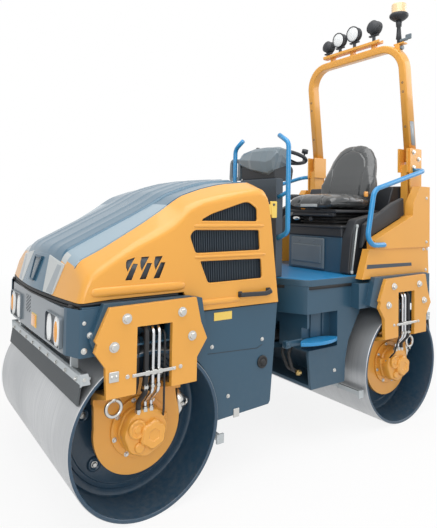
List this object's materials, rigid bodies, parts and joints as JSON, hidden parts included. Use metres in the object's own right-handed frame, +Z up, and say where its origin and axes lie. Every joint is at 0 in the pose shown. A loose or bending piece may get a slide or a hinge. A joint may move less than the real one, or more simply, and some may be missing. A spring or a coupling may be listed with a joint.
{
  "type": "articulated tandem road roller",
  "caption": "Ride-on articulated tandem drum roller with a wedge hood, open operator station and folding roll bar.",
  "frame": {"origin": "on the ground midway between the drum axles, on the middle plane", "axes": "+X forward, +Y to the machine's left, +Z up"},
  "size_m": [2.8, 1.364, 3.13],
  "materials": {
    "body_paint": "gloss",
    "chassis_paint": "satin",
    "drum_steel": "machined",
    "plated_steel": "satin",
    "blue_paint": "gloss",
    "black_plastic": "moulded",
    "seat_vinyl": "satin",
    "lamp_lens": "clear",
    "amber_lens": "gloss",
    "engine_iron": "cast"
  },
  "bodies": {
    "front_frame": {"engine_block": "engine_iron", "front_bumper": "chassis_paint", "front_chassis": "chassis_paint", "front_drum_motors": "body_paint", "front_fork_left": "body_paint", "front_fork_right": "body_paint", "front_hydraulic_pipes": "plated_steel", "front_lamps": "lamp_lens", "front_scrapers": "drum_steel", "front_side_panels": "chassis_paint", "front_tie_downs": "plated_steel"},
    "front_drum": {"front_drum": "drum_steel"},
    "rear_drum": {"rear_drum": "drum_steel"},
    "hood": {"hood": "body_paint", "hood_grilles": "black_plastic", "hood_handles": "black_plastic", "hood_top_panel": "chassis_paint"},
    "centre_link": {"centre_link": "chassis_paint"},
    "cylinder_barrel": {"steering_cylinder_barrel": "black_plastic"},
    "cylinder_rod": {"steering_cylinder_rod": "plated_steel"},
    "rops_top": {"beacon": "amber_lens", "rops_hoop": "body_paint", "work_lamps": "black_plastic"},
    "steering_wheel": {"steering_wheel": "black_plastic"},
    "rear_frame": {"access_steps": "blue_paint", "articulation_pin": "plated_steel", "console_bulkhead": "chassis_paint", "dashboard": "black_plastic", "front_handrails": "blue_paint", "operator_deck": "blue_paint", "rear_chassis": "chassis_paint", "rear_covers": "black_plastic", "rear_drum_motors": "body_paint", "rear_fork_left": "body_paint", "rear_fork_right": "body_paint", "rear_handrails": "blue_paint", "rear_hydraulic_pipes": "plated_steel", "rear_scrapers": "drum_steel", "rear_side_panels": "body_paint", "rear_tie_downs": "plated_steel", "rear_yoke": "chassis_paint", "rops_lower_posts": "body_paint", "seat_backrest": "seat_vinyl", "seat_cushion": "seat_vinyl", "seat_pedestal": "chassis_paint", "seat_suspension": "black_plastic", "side_console": "black_plastic", "steering_column": "black_plastic"}
  },
  "joints": [
    {"name": "steering", "type": "hinge", "parent": "rear_frame", "child": "centre_link", "pos_m": [0, 0, 0.62], "axis": [0, 0, 1], "range_deg": [-30, 30]},
    {"name": "oscillation", "type": "hinge", "parent": "centre_link", "child": "front_frame", "pos_m": [0, 0, 0.62], "axis": [1, 0, 0], "range_deg": [-8, 8]},
    {"name": "front_drum_roll", "type": "hinge", "parent": "front_frame", "child": "front_drum", "pos_m": [1, 0, 0.4], "axis": [0, 1, 0], "continuous": true},
    {"name": "rear_drum_roll", "type": "hinge", "parent": "rear_frame", "child": "rear_drum", "pos_m": [-1, 0, 0.4], "axis": [0, 1, 0], "continuous": true},
    {"name": "hood_lift", "type": "hinge", "parent": "front_frame", "child": "hood", "pos_m": [1.352, 0, 1.038], "axis": [0, 1, 0], "range_deg": [0, 55]},
    {"name": "rops_fold", "type": "hinge", "parent": "rear_frame", "child": "rops_top", "pos_m": [-1.335, 0, 1.93], "axis": [0, -1, 0], "range_deg": [0, 100]},
    {"name": "steering_wheel_turn", "type": "hinge", "parent": "rear_frame", "child": "steering_wheel", "pos_m": [-0.315, 0.14, 1.878], "axis": [-0.2419, 0, 0.9703], "continuous": true},
    {"name": "cylinder_swing", "type": "hinge", "parent": "rear_frame", "child": "cylinder_barrel", "pos_m": [-0.4, 0.19, 0.62], "axis": [0, 0, 1], "range_deg": [-3, 3]},
    {"name": "cylinder_stroke", "type": "slide", "parent": "cylinder_barrel", "child": "cylinder_rod", "axis": [0.999, -0.0444, 0], "range_m": [-0.092, 0.092]}
  ],
  "couplings": [
    {"joint": "cylinder_swing", "follows": "steering", "ratio": 0.0941},
    {"joint": "cylinder_stroke", "follows": "steering", "m_per_rad": -0.1721}
  ]
}
